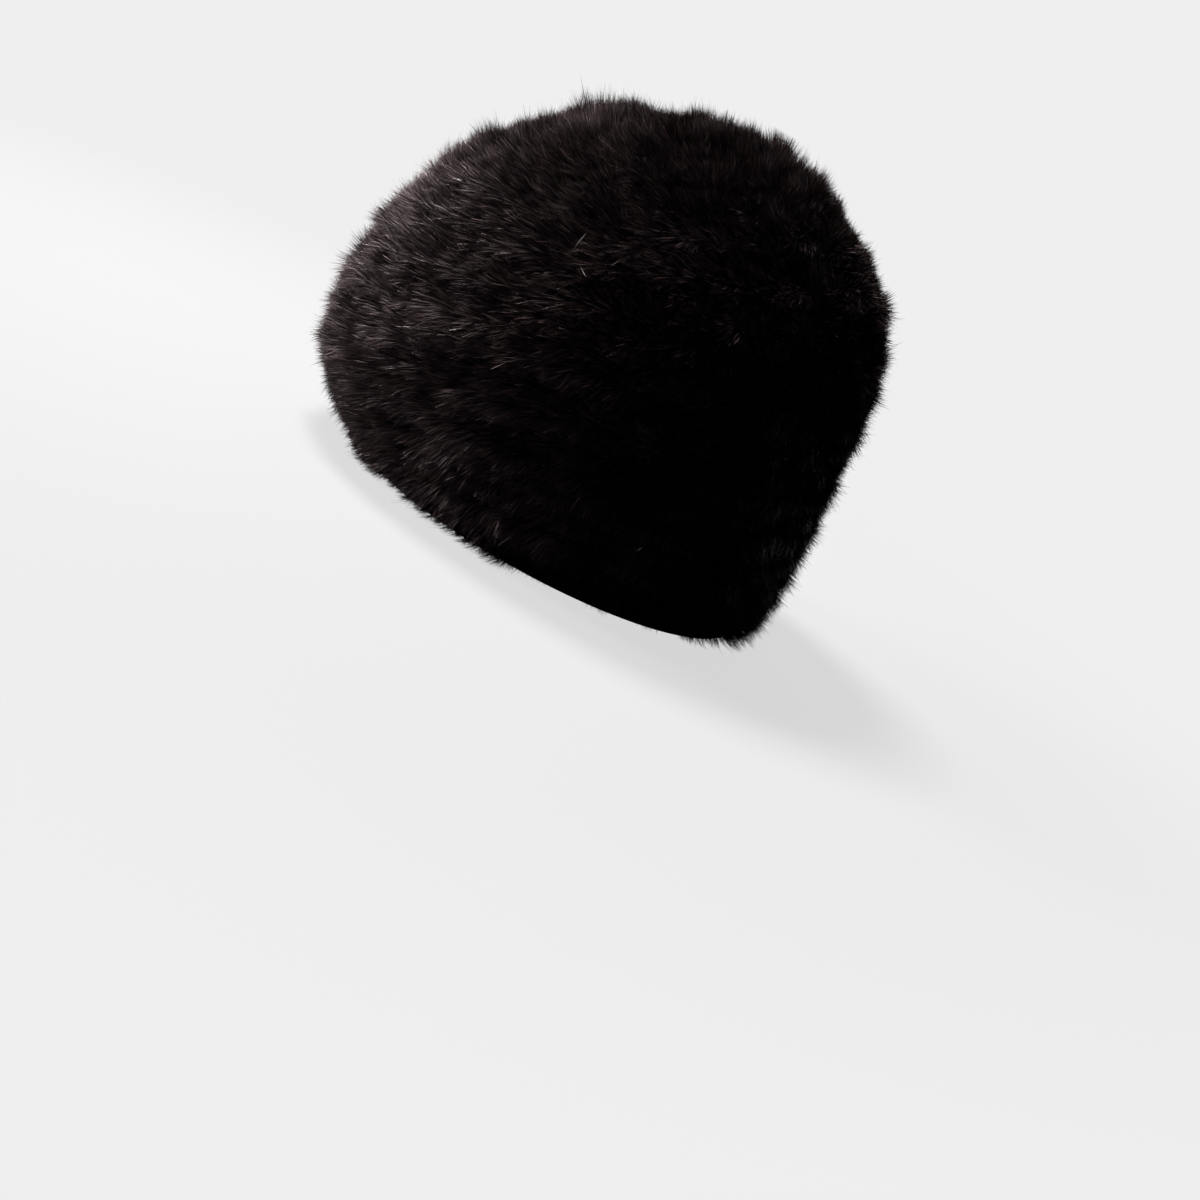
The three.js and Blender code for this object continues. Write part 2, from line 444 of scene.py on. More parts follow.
# Where the fur stands taller or lies flatter: share, angle in degrees, width and gain
SWELLS = (
    (0.73, 97, 14 * MM, 0.50),
    (0.61, 93, 15 * MM, -0.30),
    (0.83, -83, 18 * MM, -0.35),
    (0.07, -70, 18 * MM, -0.52),
    (0.95, -80, 9 * MM, 0.20),
    (0.24, 88, 10 * MM, -0.28),
    (0.38, 90, 15 * MM, 0.15),
    (0.10, 90, 10 * MM, 0.12),
    (0.28, -78, 10 * MM, 0.15),
)


def swell(point):
    """How much taller than usual the fur stands at each point of the wall, as a share."""
    gain = np.zeros(len(point))
    for share, degrees, width, amount in SWELLS:
        centre = wall_points(np.array([share]), np.radians([degrees]))[0]
        away = np.linalg.norm(point - centre, axis=1)
        gain += amount * np.exp(-(away / width) ** 2)
    return gain


# How far the lay turns and tilts, in radians, from tuft to tuft and from hair to hair
TUFT_TURNING, HAIR_TURNING = 1.1, 0.12
TUFT_TILTING, HAIR_TILTING, TIP_TILTING = 0.5, 0.10, 0.06
# How far a tuft spreads to its sides and forwards, and each hair by chance
TUFT_SPREAD, HAIR_SPREAD, FORWARD_SPREAD = 0.55, 0.14, 0.20
# A hair's lean below and above its bend, as shares of the lean of its kind
ROOT_LEAN, TIP_LEAN = 0.68, 1.05
# The share of hairs that stand out of the coat, and how much longer they are
LONG_HAIRS, LONG_HAIR_LENGTH = 0.04, 1.25


def hair_paths(rng, share, angle, course, stitch, front_back, down_up, length, lean, settings):
    """Root, middle and tip of each hair, and the way out of the wall."""
    point, out, around, up = wall_axes(share, angle)
    count = len(share)
    turned, tilted, grown = (
        tuft_number(course, stitch, settings.seed, use) for use in (TUFT_TURN, TUFT_TILT, TUFT_LENGTH))
    turn = lay_angle(share, angle) + (turned - 0.5) * TUFT_TURNING
    turn = turn + rng.normal(0, HAIR_TURNING, count)
    raised = swell(point)
    # Hair stands steeper over the crown, at the back of the rim and on a swell
    lean = lean * (1 - 0.5 * smooth_step(share, 0.62, 0.85)) * (1 - 0.5 * rim_back(share, angle))
    lean = lean * (1 - 0.6 * raised)
    lay = -around * np.cos(turn)[:, None] + up * np.sin(turn)[:, None]
    side = around * np.sin(turn)[:, None] + up * np.cos(turn)[:, None]
    spread = (down_up * np.cos(turn) + front_back * np.sin(turn)) * TUFT_SPREAD
    spread = spread + rng.normal(0, HAIR_SPREAD, count)
    tilt = (tilted - 0.5) * TUFT_TILTING + rng.normal(0, HAIR_TILTING, count)
    lean_root = lean * ROOT_LEAN + tilt
    lean_tip = lean * TIP_LEAN + tilt * 1.2 + rng.normal(0, TIP_TILTING, count)
    forward = -front_back * np.cos(turn) * FORWARD_SPREAD
    lean_root = lean_root + forward
    lean_tip = lean_tip + forward
    # The length changes by chance, to a tuft's edge, round the hat and at the rim
    ragged = 1 + rng.normal(0, 0.10, count)
    crowned = 1 - 0.46 * np.abs(down_up) ** 2.4 - 0.24 * np.abs(front_back) ** 2.4
    ragged = np.where(rng.random(count) < LONG_HAIRS, ragged * LONG_HAIR_LENGTH, ragged)
    ledge = 1 + 0.13 * np.sin(2 * angle + course * 2.4) + 0.05 * np.sin(5 * angle + course * 4.1)
    at_side = np.abs(np.cos(angle))
    shaggy = 1 + (0.60 * at_side - 0.30) * rim_front(share, angle) + 0.16 * rim_back(share, angle)
    long = length * ragged * crowned * ledge * shaggy * (0.86 + 0.28 * grown) * (1 + raised)
    root = point + out * (settings.root_height + rng.uniform(-0.4, 0.4, count)[:, None] * MM)

    def along(bend):
        direction = out * np.cos(bend)[:, None] + lay * np.sin(bend)[:, None]
        return unit(direction + side * spread[:, None])

    middle = root + along(lean_root) * (long * BLADE_BEND)[:, None]
    tip = middle + along(lean_tip) * (long * (1 - BLADE_BEND))[:, None]
    return root, middle, tip, out


# The wall's rough radius and length from rim to pole, over which the clumps are counted
CLUMP_RADIUS = 0.1
CLUMP_HEIGHT = 0.26
# More than the clumps in a row, so that every clump has its own number
ROW_NUMBERS = 100003
# How much more the clumps of the fringe and of the back of the rim are drawn, and the most of all
FRINGE_DRAW, BACK_DRAW, MOST_DRAWN = 0.6, 0.35, 0.9


def draw_together(points, most, share, angle, size):
    """Moves points part of the way to the middle of their own small clump, some clumps further."""
    fringe = rim_front(share, angle) > 0.5
    size = np.where(fringe, 2 * size, size)
    row = np.floor(share * CLUMP_HEIGHT / size + 0.4 * np.sin(angle * 40)).astype(np.int64)
    column = np.floor(angle * CLUMP_RADIUS / size + 0.4 * np.sin(share * 300)).astype(np.int64)
    key = (row * 2 + fringe) * ROW_NUMBERS + column
    _, clump = np.unique(key, return_inverse=True)
    clumps = clump.max() + 1
    total = np.zeros((clumps, 3))
    np.add.at(total, clump, points)
    mean = total / np.bincount(clump)[:, None]
    chance = np.random.default_rng(clumps - 1).random(clumps)
    amount = most * (0.2 + 1.3 * chance**3)[clump]
    drawn = FRINGE_DRAW * rim_front(share, angle) + BACK_DRAW * rim_back(share, angle)
    amount = np.minimum(amount + drawn, MOST_DRAWN)
    return points + (mean[clump] - points) * amount[:, None]


def keep_off_floor(points, clearance, splay):
    """Lifts what would pass through the floor, and lays it outwards along it."""
    depth = np.maximum(clearance - points[:, 2], 0)
    outward = points.copy()
    outward[:, 2] = 0
    outward[:, :2] -= HAT_SHIFT[:2]
    moved = points + unit(outward) * (depth * splay)[:, None]
    moved[:, 2] += depth
    return moved


def keep_near_solids(root, middle, tip):
    """Shortens the few hairs that would reach too far beyond the solids' own box."""
    low, high = (np.array(corner) for corner in cad_box)
    step = tip - root
    room = np.where(step > 0, high + HAIR_REACH - root, root - low + HAIR_REACH)
    share = np.min(room / np.maximum(np.abs(step), 1e-9), axis=1)
    share = np.clip(share, 0, 1)[:, None]
    return root + (middle - root) * share, root + step * share


def half_width(rng, direction, out, width, most_roll, most_width):
    """From each strand's middle line to its side: strands roll and vary in width by chance."""
    count = len(direction)
    flat = unit(np.cross(direction, out))
    raised = np.cross(direction, flat)
    roll = rng.uniform(-most_roll, most_roll, count)[:, None]
    across = flat * np.cos(roll) + raised * np.sin(roll)
    return across * (width / 2 * rng.uniform(0.7, most_width, count))[:, None]


def strand_mesh(name, points, out, front, back, along, chance):
    """A joined mesh of strands of a few points each, whose faces look out of the wall."""
    count, size = points.shape[:2]
    normal = np.cross(points[:, 1] - points[:, 0], points[:, 2] - points[:, 0])
    facing = np.einsum("ij,ij->i", normal, out) > 0
    start = np.arange(count)[:, None] * size
    corners = np.where(facing[:, None], start + np.array(front), start + np.array(back))
    faces = np.full(corners.size // 3, 3)
    mesh = mesh_from_faces(name, points.reshape(-1, 3), corners.ravel(), faces)
    set_strand_map(mesh, np.tile(along, count), np.repeat(chance, size))
    return mesh


def blade_mesh(name, rng, root, middle, tip, out, width, chance):
    """Slim kites that bend at their widest place: two triangles for each hair."""
    side = half_width(rng, unit(middle - root), out, width, 1.1, 1.2)
    points = np.stack([root, middle - side, middle + side, tip], axis=1)
    along = (0.0, BLADE_BEND, BLADE_BEND, 1.0)
    return strand_mesh(name, points, out, (0, 1, 2, 3, 2, 1), (0, 2, 1, 3, 1, 2), along, chance)


def spike_mesh(name, rng, root, tip, out, width, chance):
    """Single long triangles, for the underfur."""
    side = half_width(rng, unit(tip - root), out, width, 1.0, 1.3)
    points = np.stack([root - side, root + side, tip], axis=1)
    return strand_mesh(name, points, out, (0, 1, 2), (2, 1, 0), (0.0, 0.0, 1.0), chance)


def strand_kinds(settings):
    """Each kind of hair: material, hairs per square millimetre, length, width, lean, clumping."""
    guard, under = settings.guard_length, settings.under_length
    width = settings.hair_width
    return (
        ("guard_hair", settings.guard_density, guard, width, 0.85, 0.34),
        ("awn_hair", settings.guard_density * 0.24, guard * 1.04, width * 1.2, 0.82, 0.10),
        ("underfur", settings.under_density, under, width * 2.0, 0.75, 0.60),
    )


def fur_band(name, low, high, courses, settings, seed, length_share=1.0, density_share=1.0):
    """The hair between two shares: one object for each kind of hair."""
    rng = np.random.default_rng(settings.seed * 1000 + seed)
    made = []
    for kind, density, length, width, lean, clumping in strand_kinds(settings):
        share, angle = scatter_roots(rng, low, high, density * density_share)
        course, stitch, front_back, down_up = course_layout(
            share, angle, low, high, courses, settings.tuft_pitch, seed)
        # Fewer hairs near a tuft's edge, so that the tufts part
        edge = np.maximum(np.abs(front_back), np.abs(down_up))
        kept = rng.random(len(share)) > 0.55 * smooth_step(edge, 0.62, 1.0)
        share, angle, course, stitch, front_back, down_up, edge = (
            column[kept] for column in (share, angle, course, stitch, front_back, down_up, edge))
        root, middle, tip, out = hair_paths(
            rng, share, angle, course + seed * 10, stitch, front_back, down_up,
            length * length_share, lean, settings)
        count = len(root)
        middle = draw_together(middle, 0.06, share, angle, settings.clump_size)
        tip = draw_together(tip, clumping, share, angle, settings.clump_size)
        middle, tip = keep_near_solids(root, middle, tip)
        # What would pass through the floor lies out along it, furthest at the sides of the rim
        clear = (0.4 + 2.0 * rng.random(count) ** 2) * MM
        splay = 1.4 + rim_front(share, angle) * (2.6 * np.abs(np.cos(angle)) - 1.0)
        splay = splay - 0.8 * rim_back(share, angle)
        middle = keep_off_floor(middle, clear, splay)
        tip = keep_off_floor(tip, clear, splay)
        # Painted shade: a darker tone near a tuft's edge, where the tufts part
        tone = rng.random(count) * (1 - 0.45 * smooth_step(edge, 0.5, 1.0))
        if kind == "underfur":
            mesh = spike_mesh(name + "_" + kind, rng, root, tip, out, width, tone)
        else:
            mesh = blade_mesh(name + "_" + kind, rng, root, middle, tip, out, width, tone)
        made.append(link_strands(mesh.name, mesh, kind))
    return made


# Single pale hairs that lie loose over the fur, pale partly of their own and partly by painted light
# where the lamps leave them dim: share and angle of the root, then of the tip
STRAY_HAIRS = (
    (0.548, -7.5, 0.585, -4.0),
    (0.537, -5.2, 0.510, -2.4),
    (0.125, 25.5, 0.146, 26.5),
)
# Heights of root and tip over the wall, how far the middle bows out, and width in guard hairs
STRAY_HEIGHTS = (10 * MM, 15 * MM)
STRAY_BOW = 0.6 * MM
STRAY_WIDTH = 2.2


def stray_hairs(name, low, high, settings):
    """The loose pale hairs, partly lit by painted light, whose roots lie between two shares, or
    nothing.
    """
    rows = np.array([row for row in STRAY_HAIRS if low <= row[0] < high])
    if len(rows) == 0:
        return []
    angles = np.radians(rows[:, (1, 3)])
    root = over_wall(rows[:, 0], angles[:, 0], np.full(len(rows), STRAY_HEIGHTS[0]))
    tip = over_wall(rows[:, 2], angles[:, 1], np.full(len(rows), STRAY_HEIGHTS[1]))
    _, out, _, _ = wall_axes(rows[:, 0], angles[:, 0])
    middle = root + (tip - root) * BLADE_BEND + out * STRAY_BOW
    rng = np.random.default_rng(settings.seed)
    width = settings.hair_width * STRAY_WIDTH
    mesh = blade_mesh(name, rng, root, middle, tip, out, width, np.ones(len(rows)))
    return [link_strands(name, mesh, "stray_hair")]


# The lowest that the backing comes over the floor
FLOOR_GAP = 0.3 * MM


def squared(value):
    """A sine or cosine made squarer, for a section with fuller corners."""
    return np.sign(value) * np.abs(value) ** 0.5


def pelt_ring(name, low, high, settings):
    """The strip's backing: a ring primitive whose section is laid along the wall."""
    section = 10
    pelt, angle, corner = add_ring(name, 144, section)
    turn = corner / section * FULL_TURN
    middle = (low + high) / 2
    half = (high - low) / 2
    share = middle - half * squared(np.sin(turn))
    thick = settings.root_height * 1.35
    height = GAP + (thick - GAP) * (0.5 + 0.5 * squared(np.cos(turn)))
    place = over_wall(share, angle, height)
    place[:, 2] = np.maximum(place[:, 2], FLOOR_GAP)
    move_vertices(pelt, place)
    set_strand_map(pelt.data, np.zeros(len(place)), 0.5 + 0.4 * np.sin(angle * 32))
    face_outwards()
    pelt.data.materials.append(finish("pelt"))
    return pelt


def join_pieces(name, pieces):
    """One object from several, under the first one's materials and maps."""
    deselect_all()
    for piece in pieces:
        piece.select_set(True)
    bpy.context.view_layer.objects.active = pieces[0]
    bpy.ops.object.join()
    joined = bpy.context.object
    joined.name = name
    joined.data.name = name
    return joined


# Materials

def new_group(name, inputs, outputs):
    """An empty shader node group with named sockets, and its two end nodes."""
    group = bpy.data.node_groups.new(name, "ShaderNodeTree")
    for label, kind, default in inputs:
        socket = group.interface.new_socket(name=label, in_out="INPUT", socket_type=kind)
        socket.default_value = default
    for label, kind in outputs:
        group.interface.new_socket(name=label, in_out="OUTPUT", socket_type=kind)
    return group, group.nodes.new("NodeGroupInput"), group.nodes.new("NodeGroupOutput")


def math_node(tree, operation, first, second, third=None):
    """A Math node whose inputs are sockets or numbers."""
    node = tree.nodes.new("ShaderNodeMath")
    node.operation = operation
    for index, value in enumerate((first, second, third)):
        if value is None:
            continue
        if isinstance(value, (int, float)):
            node.inputs[index].default_value = value
        else:
            tree.links.new(value, node.inputs[index])
    return node.outputs[0]


def color4(color):
    """A colour with its alpha of 1."""
    return (*color, 1.0)


def grey(value):
    """A grey of one value as a colour with alpha."""
    return (value, value, value, 1.0)


# Darker and lighter patches in the coat, the power that makes a pale tip rare (a pale tip is partly
# the hair's own paler tip and partly a painted glint), and how much smoother a lighter hair is
PATCHES_PER_METRE = 45
RARE_POWER = 7.0
SMOOTHER_WHEN_LIGHT = -0.16


def hair_tone_group():
    """Colour and roughness of a hair, from its place along the strand and its chance number."""
    group, source, result = new_group(
        "hair_tone",
        [("Root", "NodeSocketColor", grey(0.01)),
         ("Tip", "NodeSocketColor", grey(0.03)),
         ("Chance Amount", "NodeSocketFloat", 0.5),
         ("Pale Amount", "NodeSocketFloat", 0.0),
         ("Roughness", "NodeSocketFloat", 0.4)],
        [("Color", "NodeSocketColor"), ("Roughness", "NodeSocketFloat")])
    nodes, links = group.nodes, group.links
    strand = nodes.new("ShaderNodeUVMap")
    strand.uv_map = STRAND_MAP
    split = nodes.new("ShaderNodeSeparateXYZ")
    links.new(strand.outputs["UV"], split.inputs[0])
    along, chance = split.outputs["X"], split.outputs["Y"]
    blend = nodes.new("ShaderNodeMix")
    blend.data_type = "RGBA"
    links.new(math_node(group, "POWER", along, 2.0), blend.inputs["Factor"])
    links.new(source.outputs["Root"], blend.inputs["A"])
    links.new(source.outputs["Tip"], blend.inputs["B"])
    place = nodes.new("ShaderNodeTexCoord")
    patches = nodes.new("ShaderNodeTexNoise")
    patches.inputs["Scale"].default_value = PATCHES_PER_METRE
    patches.inputs["Detail"].default_value = 3
    links.new(place.outputs["Object"], patches.inputs["Vector"])
    spread = math_node(group, "ADD", chance, patches.outputs["Fac"])
    centred = math_node(group, "SUBTRACT", spread, 1.0)
    even = math_node(group, "MULTIPLY_ADD", centred, source.outputs["Chance Amount"], 1.0)
    # Painted highlight: a few hairs get much paler tips, partly their own paler tone and partly
    # painted glints
    rare = math_node(group, "POWER", chance, RARE_POWER)
    pale = math_node(group, "MULTIPLY", rare, along)
    bright = math_node(group, "MULTIPLY_ADD", pale, source.outputs["Pale Amount"], even)
    tone = nodes.new("ShaderNodeVectorMath")
    tone.operation = "SCALE"
    links.new(blend.outputs["Result"], tone.inputs[0])
    links.new(bright, tone.inputs["Scale"])
    links.new(tone.outputs[0], result.inputs["Color"])
    rough = math_node(group, "MULTIPLY_ADD", centred, SMOOTHER_WHEN_LIGHT, source.outputs["Roughness"])
    links.new(rough, result.inputs["Roughness"])
    return group


def mix_shaders(tree, share, first, second):
    """A mix of two shaders: the first at a share of 0, the second at 1."""
    mix = tree.nodes.new("ShaderNodeMixShader")
    tree.links.new(share, mix.inputs["Fac"])
    tree.links.new(first.outputs[0], mix.inputs[1])
    tree.links.new(second.outputs[0], mix.inputs[2])
    return mix


def surface(name):
    """A new material with its Principled shader."""
    material = bpy.data.materials.new(name)
    material.use_nodes = True
    return material, material.node_tree, material.node_tree.nodes["Principled BSDF"]


SHEEN_TINT = (1.0, 0.75, 0.82)
# Painted light: the strays' pale tip colour is partly their own pale grey and partly light painted in
# where the lamps leave them dim
STRAY_PALE_AND_PAINTED_LIGHT = (0.75, 0.68, 0.64)
# For each kind of hair and the backing: change from strand to strand, share of pale tips (partly the
# hair's own paler tips, partly painted glints), roughness and strength of the sheen
HAIR_FINISHES = {
    "guard_hair": (1.4, 4.5, 0.48, 0.20),
    "awn_hair": (1.3, 1.0, 0.40, 0.36),
    "stray_hair": (0.3, 1.0, 0.35, 0.6),
    "underfur": (0.7, 0.0, 0.62, 0.14),
    "pelt": (0.4, 0.0, 0.9, 0.1),
}


def hair_material(name, root, tip, chance, pale, roughness, specular):
    """Hair whose colour runs from root to tip and changes from strand to strand."""
    material, tree, shader = surface(name)
    tone = tree.nodes.new("ShaderNodeGroup")
    tone.node_tree = bpy.data.node_groups["hair_tone"]
    tone.inputs["Root"].default_value = color4(root)
    tone.inputs["Tip"].default_value = color4(tip)
    tone.inputs["Chance Amount"].default_value = chance
    tone.inputs["Pale Amount"].default_value = pale
    tone.inputs["Roughness"].default_value = roughness
    tree.links.new(tone.outputs["Color"], shader.inputs["Base Color"])
    tree.links.new(tone.outputs["Roughness"], shader.inputs["Roughness"])
    shader.inputs["Specular IOR Level"].default_value = specular
    shader.inputs["Specular Tint"].default_value = color4(SHEEN_TINT)
    return material


def finish(name):
    """The material of that name, made when a piece first asks for it."""
    if name in bpy.data.materials:
        return bpy.data.materials[name]
    if "hair_tone" not in bpy.data.node_groups:
        hair_tone_group()
    if name not in HAIR_FINISHES:
        return knit_material(name)
    fur = bpy.context.scene.beanie_fur
    tips = {
        "guard_hair": fur.guard_tip_color,
        "awn_hair": fur.awn_tip_color,
        "stray_hair": STRAY_PALE_AND_PAINTED_LIGHT,
        "underfur": fur.under_color,
        "pelt": fur.guard_root_color,
    }
    root = fur.awn_tip_color if name == "stray_hair" else fur.guard_root_color
    return hair_material(name, root, tips[name], *HAIR_FINISHES[name])


# The fibres in the yarn, for each metre
FIBRES_PER_METRE = 900


def knit_material(name):
    """Matt yarn with a fine fibre grain."""
    knit = bpy.context.scene.beanie_knit
    material, tree, shader = surface(name)
    nodes, links = tree.nodes, tree.links
    place = nodes.new("ShaderNodeTexCoord")
    fibre = nodes.new("ShaderNodeTexNoise")
    fibre.inputs["Scale"].default_value = FIBRES_PER_METRE
    fibre.inputs["Detail"].default_value = 3
    links.new(place.outputs["Object"], fibre.inputs["Vector"])
    ramp = nodes.new("ShaderNodeMix")
    ramp.data_type = "RGBA"
    ramp.inputs["A"].default_value = color4(0.55 * channel for channel in knit.yarn_color)
    ramp.inputs["B"].default_value = color4(1.5 * channel for channel in knit.yarn_color)
    links.new(fibre.outputs["Fac"], ramp.inputs["Factor"])
    links.new(ramp.outputs["Result"], shader.inputs["Base Color"])
    bump = nodes.new("ShaderNodeBump")
    bump.inputs["Strength"].default_value = 0.5
    bump.inputs["Distance"].default_value = 0.3 * MM
    links.new(fibre.outputs["Fac"], bump.inputs["Height"])
    links.new(bump.outputs["Normal"], shader.inputs["Normal"])
    shader.inputs["Roughness"].default_value = 0.9
    shader.inputs["Specular IOR Level"].default_value = 0.2
    shader.inputs["Sheen Weight"].default_value = 0.1
    return material


# Operators: one for each piece or group of like pieces

# The wall's mean radius and its length from rim to pole, over which the stitches are counted
KNIT_RADIUS = 0.093
KNIT_LENGTH = 0.31
# Vertices for each stitch, both ways, and how far the outer face lies under the wall's own
STITCH_STEPS = 4
OUTER_FACE_DEPTH = 0.7 * MM
# Past this share a point counts as the pole
POLE_SHARE = 0.9999


class BEANIE_OT_knit_ground(bpy.types.Operator):
    """Builds the hollow knitted dome, with its stitches on the inside"""
    bl_idname = "beanie.knit_ground"
    bl_label = "Knitted Ground"

    def execute(self, context):
        knit = context.scene.beanie_knit
        wales = round(FULL_TURN * KNIT_RADIUS / knit.stitch_pitch)
        courses = round(KNIT_LENGTH / knit.stitch_pitch)
        outer_rows, inner_rows = 10, courses * STITCH_STEPS
        columns, rows = wales * STITCH_STEPS, outer_rows + inner_rows
        deselect_all()
        bpy.ops.mesh.primitive_grid_add(
            x_subdivisions=columns, y_subdivisions=rows, size=2, location=(0, 0, 0))
        ground = context.object
        ground.name = "knit_ground"
        place = vertex_places(ground)
        column = np.rint((place[:, 0] + 1) / 2 * columns)
        row = np.rint((place[:, 1] + 1) / 2 * rows)
        angle = (column % columns) / columns * FULL_TURN
        inside = row > outer_rows
        share = np.where(inside, (row - outer_rows - 1) / (inner_rows - 1), 1 - row / outer_rows)
        wale = column / STITCH_STEPS
        leg = np.abs((wale % 1) * 2 - 1)
        course = share * courses
        loop = 0.5 + 0.5 * np.cos((course + leg * 0.5) * FULL_TURN)
        furrow = np.abs(np.cos(wale * FULL_TURN))
        relief = knit.stitch_depth * (0.55 * loop + 0.45 * furrow) * smooth_step(1 - share, 0.0, 0.15)
        height = np.where(inside, relief - WALL, -OUTER_FACE_DEPTH)
        laid = over_wall(share, angle, height)
        pole = share > POLE_SHARE
        laid[pole] = wall_points(np.ones(1), np.zeros(1))[0]
        laid[pole, 2] += height[pole]
        move_vertices(ground, laid)
        edit_whole(bpy.ops.mesh.remove_doubles, threshold=0.01 * MM)
        face_outwards()
        ground.data.materials.append(finish("knit_yarn"))
        finish_piece(ground, "knit", "knit_base")
        return {"FINISHED"}


# The turned edge's section: how far out of the wall and how high each corner lies
EDGE_SECTION_MM = (
    (-3.0, 2.4), (-2.4, 0.6), (-1.2, 0.0), (0.6, 0.0), (2.4, 0.0), (4.0, 0.0), (5.2, 0.5), (6.0, 1.8),
    (6.4, 3.6), (6.6, 5.6), (6.4, 7.4), (5.6, 8.8), (3.6, 9.2), (1.2, 8.2), (0.3, 3.8), (-2.2, 3.6),
)


class BEANIE_OT_rim_edge(bpy.types.Operator):
    """Builds the turned edge with its short fur"""
    bl_idname = "beanie.rim_edge"
    bl_label = "Turned Edge"

    def execute(self, context):
        fur = context.scene.beanie_fur
        section = np.array(EDGE_SECTION_MM) * MM
        edge, angle, corner = add_ring("edge_backing", 192, len(section))
        rim, out, _, _ = wall_axes(np.zeros(len(angle)), angle)
        place = rim + out * section[corner, 0][:, None]
        place[:, 2] = section[corner, 1]
        move_vertices(edge, place)
        set_strand_map(edge.data, np.zeros(len(place)), 0.5 + 0.3 * np.sin(angle * 24))
        face_outwards()
        edge.data.materials.append(finish("pelt"))
        strands = fur_band("edge", 0.0, round_share(0), 1, fur, 90, 0.85, 1.2)
        piece = join_pieces("edge_fur", [edge, *strands])
        finish_piece(piece, "edge_fur", "rim_edge")
        return {"FINISHED"}


class BEANIE_OT_fur_rounds(bpy.types.Operator):
    """Builds the rounds of fur strip, from the edge to the crown"""
    bl_idname = "beanie.fur_rounds"
    bl_label = "Rounds of Fur"

    def execute(self, context):
        fur = context.scene.beanie_fur
        for number in range(ROUNDS):
            low, high = round_share(number), round_share(number + 1)
            name = f"round_{number + 1:02d}"
            pelt = pelt_ring(name + "_pelt", low, high, fur)
            strands = fur_band(name, low, high, 2, fur, number + 1)
            strays = stray_hairs(name + "_stray", low, high, fur)
            piece = join_pieces(name + "_fur", [pelt, *strands, *strays])
            finish_piece(piece, "fur", f"fur_round_{number + 1:02d}")
        return {"FINISHED"}


# The disc that the crown's backing starts as, the rings it is cut into, and its thickness
CROWN_DISC = 0.02
CROWN_RINGS = 8
CROWN_BACKING = 2.4 * MM


class BEANIE_OT_crown(bpy.types.Operator):
    """Builds the rosette that closes the crown"""
    bl_idname = "beanie.crown"
    bl_label = "Crown Rosette"

    def execute(self, context):
        fur = context.scene.beanie_fur
        deselect_all()
        bpy.ops.mesh.primitive_circle_add(
            vertices=48, radius=CROWN_DISC, fill_type="TRIFAN", location=(0, 0, 0))
        cap = context.object
        cap.name = "crown_backing"
        edit_whole(bpy.ops.mesh.subdivide, number_cuts=CROWN_RINGS - 1)
        place = vertex_places(cap).astype(float)
        reach = np.hypot(place[:, 0], place[:, 1]) / CROWN_DISC
        angle = np.arctan2(place[:, 1], place[:, 0])
        share = np.minimum(1 - (1 - CROWN_SHARE) * reach, POLE_SHARE)
        height = fur.root_height * (1.2 - 0.3 * reach**4)
        move_vertices(cap, over_wall(share, angle, height))
        set_strand_map(cap.data, np.zeros(len(place)), np.full(len(place), 0.5))
        thicken = cap.modifiers.new("thickness", "SOLIDIFY")
        thicken.thickness = CROWN_BACKING
        thicken.offset = -1.0
        bpy.ops.object.modifier_apply(modifier=thicken.name)
        face_outwards()
        cap.data.materials.append(finish("pelt"))
        strands = fur_band("crown", CROWN_SHARE, 0.999, 1, fur, 70, 1.08, 1.3)
        piece = join_pieces("crown_fur", [cap, *strands])
        finish_piece(piece, "fur", "crown_rosette")
        return {"FINISHED"}


class BEANIE_OT_studio(bpy.types.Operator):
    """Sets the pale floor, the lights and the camera"""
    bl_idname = "beanie.studio"
    bl_label = "Studio"

    def execute(self, context):
        studio = context.scene.beanie_studio
        scene = context.scene
        scene.view_settings.view_transform = "Standard"
        make_world(scene, studio)
        make_floor()
        make_lights()
        make_camera(scene, studio)
        return {"FINISHED"}


# The light that the background gives the hat: its colour and strength
SHADE_LIGHT = (0.60, 0.74, 1.0)
SHADE_STRENGTH = 0.045


def make_world(scene, studio):
    """A pale background that lights the hat only faintly."""
    world = bpy.data.worlds.new("studio_world")
    world.use_nodes = True
    nodes, links = world.node_tree.nodes, world.node_tree.links
    shown = nodes["Background"]
    shown.inputs["Color"].default_value = grey(studio.background)
    shown.inputs["Strength"].default_value = 1.0
    dim = nodes.new("ShaderNodeBackground")
    dim.inputs["Color"].default_value = color4(SHADE_LIGHT)
    dim.inputs["Strength"].default_value = SHADE_STRENGTH
    path = nodes.new("ShaderNodeLightPath")
    by_ray = mix_shaders(world.node_tree, path.outputs["Is Camera Ray"], dim, shown)
    links.new(by_ray.outputs[0], nodes["World Output"].inputs["Surface"])
    scene.world = world


# The floor's own grey, its glow, the grey that it shows the hat, and where it fades out
FLOOR_GREY = 0.08
FLOOR_GLOW = 0.66
FLOOR_GREY_TO_HAT = 0.12
FLOOR_FADE = (0.16, 0.55)


